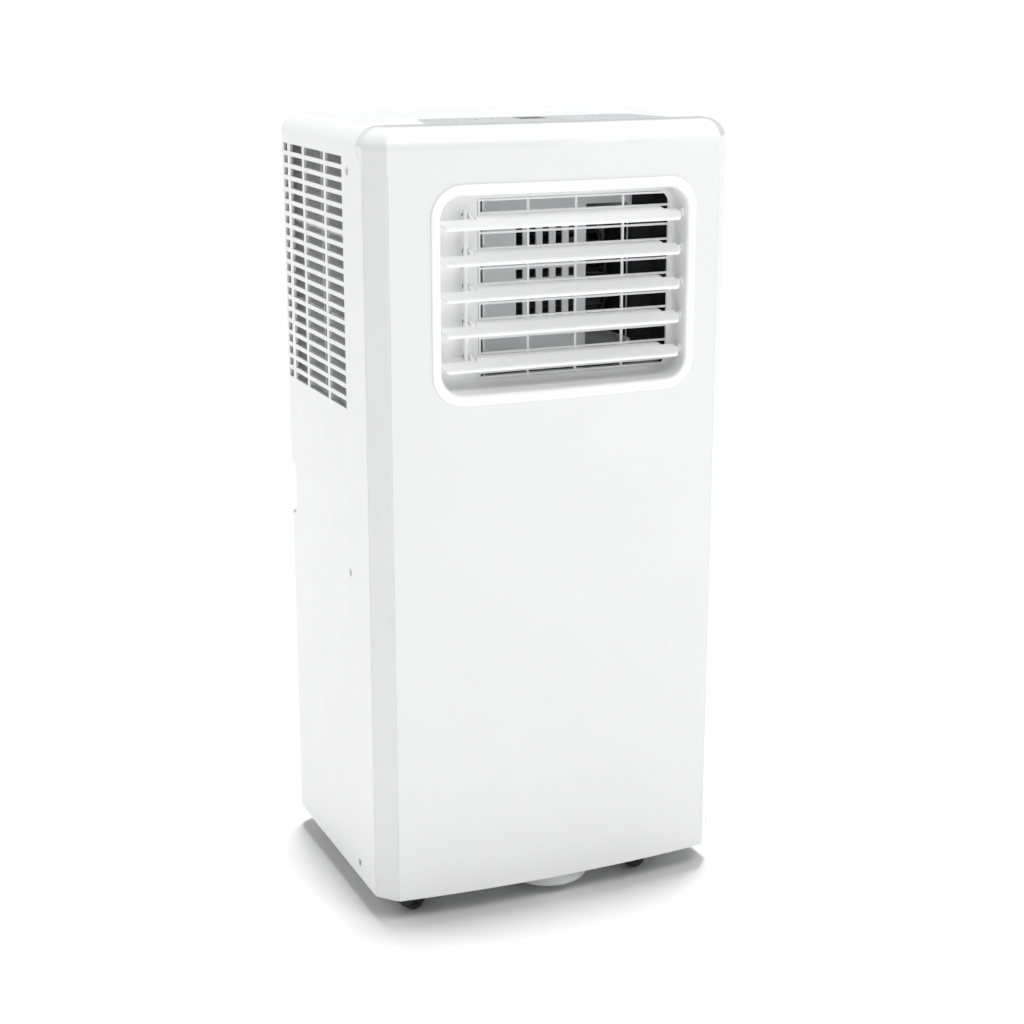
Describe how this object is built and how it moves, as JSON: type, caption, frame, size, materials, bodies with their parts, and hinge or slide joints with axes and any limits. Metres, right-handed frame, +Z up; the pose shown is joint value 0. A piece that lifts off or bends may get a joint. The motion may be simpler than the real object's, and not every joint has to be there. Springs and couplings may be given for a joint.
{
  "type": "portable air conditioner",
  "caption": "Upright portable air conditioner on casters with tilting louvres, side air grilles, top keypad, filters and a rear exhaust collar.",
  "frame": {"origin": "on the floor, under the middle of the whole object's box", "axes": "+Z up, the front with the louvres faces -Y, +X to the right of a person facing it"},
  "size_m": [0.33, 0.2754, 0.6895],
  "materials": {
    "gloss_white": "gloss",
    "satin_white": "satin",
    "grey_inlay": "satin",
    "key_grey": "satin",
    "display_dark": "gloss",
    "white_inner": "satin",
    "pan_grey": "satin",
    "wheel_dark": "satin",
    "steel": "zinc plated",
    "motor_steel": "galvanised",
    "coil_aluminium": "mill",
    "pipe_copper": "drawn copper",
    "compressor_black": "semi-gloss",
    "rubber_black": "matt",
    "caster_black": "satin",
    "caster_tread": "satin",
    "filter_white": "satin",
    "capacitor_grey": "drawn",
    "board_green": "solder mask"
  },
  "bodies": {
    "chassis": {"front_panel": "gloss_white", "rear_housing": "satin_white", "side_screws": "steel", "exhaust_collar": "satin_white", "louvre_frame": "gloss_white", "outlet_guard": "white_inner", "blower_scroll": "white_inner", "blower_motor": "motor_steel", "middle_tray": "white_inner", "base_pan": "pan_grey", "cord_bush": "rubber_black", "condenser_coil": "coil_aluminium", "fan_scroll": "white_inner", "fan_motor": "motor_steel", "exhaust_duct": "white_inner", "compressor": "compressor_black", "compressor_grommets": "rubber_black", "compressor_bolts": "steel", "refrigerant_pipes": "pipe_copper", "splash_motor": "motor_steel", "electrical_box": "motor_steel", "electrical_cover": "motor_steel", "capacitor": "capacitor_grey", "power_board": "board_green", "top_cover": "satin_white", "control_inlay": "grey_inlay", "display_window": "display_dark", "control_board": "board_green", "evaporator_coil_left": "coil_aluminium", "evaporator_coil_right": "coil_aluminium"},
    "louvre_1": {"louvre_blade_1": "gloss_white"},
    "louvre_2": {"louvre_blade_2": "gloss_white"},
    "louvre_3": {"louvre_blade_3": "gloss_white"},
    "louvre_4": {"louvre_blade_4": "gloss_white"},
    "louvre_5": {"louvre_blade_5": "gloss_white"},
    "link_bar": {"louvre_link": "gloss_white"},
    "blower_rotor": {"blower_wheel": "wheel_dark", "blower_shaft": "steel"},
    "fan_rotor": {"fan_wheel": "wheel_dark", "fan_shaft": "steel"},
    "splash_rotor": {"splash_wheel": "wheel_dark"},
    "key_1": {"button_1": "key_grey"},
    "key_2": {"button_2": "key_grey"},
    "key_3": {"button_3": "key_grey"},
    "key_4": {"button_4": "key_grey"},
    "key_5": {"button_5": "key_grey"},
    "key_6": {"button_6": "key_grey"},
    "key_7": {"button_7": "key_grey"},
    "filter_left": {"air_filter_left": "filter_white"},
    "filter_right": {"air_filter_right": "filter_white"},
    "cap_lower": {"drain_cap_lower": "rubber_black"},
    "cap_middle": {"drain_cap_middle": "rubber_black"},
    "swivel_front_left": {"caster_fork_front_left": "caster_black"},
    "roller_front_left": {"caster_wheel_front_left": "caster_tread"},
    "swivel_rear_left": {"caster_fork_rear_left": "caster_black"},
    "roller_rear_left": {"caster_wheel_rear_left": "caster_tread"},
    "swivel_front_right": {"caster_fork_front_right": "caster_black"},
    "roller_front_right": {"caster_wheel_front_right": "caster_tread"},
    "swivel_rear_right": {"caster_fork_rear_right": "caster_black"},
    "roller_rear_right": {"caster_wheel_rear_right": "caster_tread"}
  },
  "joints": [
    {"name": "louvre_1_tilt", "type": "hinge", "parent": "chassis", "child": "louvre_1", "pos_m": [0.006, -0.1208, 0.6111], "axis": [1, 0, 0], "range_deg": [-50, 30]},
    {"name": "louvre_2_tilt", "type": "hinge", "parent": "chassis", "child": "louvre_2", "pos_m": [0.006, -0.1208, 0.5818], "axis": [1, 0, 0], "range_deg": [-50, 30]},
    {"name": "louvre_3_tilt", "type": "hinge", "parent": "chassis", "child": "louvre_3", "pos_m": [0.006, -0.1208, 0.5525], "axis": [1, 0, 0], "range_deg": [-50, 30]},
    {"name": "louvre_4_tilt", "type": "hinge", "parent": "chassis", "child": "louvre_4", "pos_m": [0.006, -0.1208, 0.5232], "axis": [1, 0, 0], "range_deg": [-50, 30]},
    {"name": "louvre_5_tilt", "type": "hinge", "parent": "chassis", "child": "louvre_5", "pos_m": [0.006, -0.1208, 0.4939], "axis": [1, 0, 0], "range_deg": [-50, 30]},
    {"name": "link_bar_pivot", "type": "hinge", "parent": "louvre_1", "child": "link_bar", "pos_m": [-0.077, -0.10992, 0.61617], "axis": [1, 0, 0], "range_deg": [-30, 50]},
    {"name": "blower_spin", "type": "hinge", "parent": "chassis", "child": "blower_rotor", "pos_m": [0.019, 0.02, 0.543], "axis": [1, 0, 0], "continuous": true},
    {"name": "fan_spin", "type": "hinge", "parent": "chassis", "child": "fan_rotor", "pos_m": [0.03, 0.049, 0.16], "axis": [0, 1, 0], "continuous": true},
    {"name": "splash_spin", "type": "hinge", "parent": "chassis", "child": "splash_rotor", "pos_m": [-0.098, 0.052, 0.076], "axis": [1, 0, 0], "continuous": true},
    {"name": "button_1_press", "type": "slide", "parent": "chassis", "child": "key_1", "axis": [0, 0, -1], "range_m": [0, 0.0008], "stiffness_N_per_m": 300, "springref_m": -0.0004},
    {"name": "button_2_press", "type": "slide", "parent": "chassis", "child": "key_2", "axis": [0, 0, -1], "range_m": [0, 0.0008], "stiffness_N_per_m": 300, "springref_m": -0.0004},
    {"name": "button_3_press", "type": "slide", "parent": "chassis", "child": "key_3", "axis": [0, 0, -1], "range_m": [0, 0.0008], "stiffness_N_per_m": 300, "springref_m": -0.0004},
    {"name": "button_4_press", "type": "slide", "parent": "chassis", "child": "key_4", "axis": [0, 0, -1], "range_m": [0, 0.0008], "stiffness_N_per_m": 300, "springref_m": -0.0004},
    {"name": "button_5_press", "type": "slide", "parent": "chassis", "child": "key_5", "axis": [0, 0, -1], "range_m": [0, 0.0008], "stiffness_N_per_m": 300, "springref_m": -0.0004},
    {"name": "button_6_press", "type": "slide", "parent": "chassis", "child": "key_6", "axis": [0, 0, -1], "range_m": [0, 0.0008], "stiffness_N_per_m": 300, "springref_m": -0.0004},
    {"name": "button_7_press", "type": "slide", "parent": "chassis", "child": "key_7", "axis": [0, 0, -1], "range_m": [0, 0.0008], "stiffness_N_per_m": 300, "springref_m": -0.0004},
    {"name": "filter_left_slide", "type": "slide", "parent": "chassis", "child": "filter_left", "axis": [0, 1, 0], "range_m": [0, 0.195]},
    {"name": "filter_right_slide", "type": "slide", "parent": "chassis", "child": "filter_right", "axis": [0, 1, 0], "range_m": [0, 0.195]},
    {"name": "drain_cap_lower_pull", "type": "slide", "parent": "chassis", "child": "cap_lower", "axis": [0, 1, 0], "range_m": [0, 0.022]},
    {"name": "drain_cap_middle_pull", "type": "slide", "parent": "chassis", "child": "cap_middle", "axis": [0, 1, 0], "range_m": [0, 0.022]},
    {"name": "caster_front_left_swivel", "type": "hinge", "parent": "chassis", "child": "swivel_front_left", "pos_m": [-0.1105, -0.091, 0.04], "axis": [0, 0, 1], "continuous": true},
    {"name": "caster_front_left_roll", "type": "hinge", "parent": "swivel_front_left", "child": "roller_front_left", "pos_m": [-0.12681, -0.09861, 0.014], "axis": [0.4226, -0.9063, 0], "continuous": true},
    {"name": "caster_rear_left_swivel", "type": "hinge", "parent": "chassis", "child": "swivel_rear_left", "pos_m": [-0.1105, 0.08, 0.04], "axis": [0, 0, 1], "continuous": true},
    {"name": "caster_rear_left_roll", "type": "hinge", "parent": "swivel_rear_left", "child": "roller_rear_left", "pos_m": [-0.12681, 0.07239, 0.014], "axis": [0.4226, -0.9063, 0], "continuous": true},
    {"name": "caster_front_right_swivel", "type": "hinge", "parent": "chassis", "child": "swivel_front_right", "pos_m": [0.1105, -0.091, 0.04], "axis": [0, 0, 1], "continuous": true},
    {"name": "caster_front_right_roll", "type": "hinge", "parent": "swivel_front_right", "child": "roller_front_right", "pos_m": [0.09419, -0.09861, 0.014], "axis": [0.4226, -0.9063, 0], "continuous": true},
    {"name": "caster_rear_right_swivel", "type": "hinge", "parent": "chassis", "child": "swivel_rear_right", "pos_m": [0.1105, 0.08, 0.04], "axis": [0, 0, 1], "continuous": true},
    {"name": "caster_rear_right_roll", "type": "hinge", "parent": "swivel_rear_right", "child": "roller_rear_right", "pos_m": [0.09419, 0.07239, 0.014], "axis": [0.4226, -0.9063, 0], "continuous": true}
  ],
  "couplings": [
    {"joint": "louvre_2_tilt", "follows": "louvre_1_tilt", "ratio": 1},
    {"joint": "louvre_3_tilt", "follows": "louvre_1_tilt", "ratio": 1},
    {"joint": "louvre_4_tilt", "follows": "louvre_1_tilt", "ratio": 1},
    {"joint": "louvre_5_tilt", "follows": "louvre_1_tilt", "ratio": 1},
    {"joint": "link_bar_pivot", "follows": "louvre_1_tilt", "ratio": -1}
  ]
}
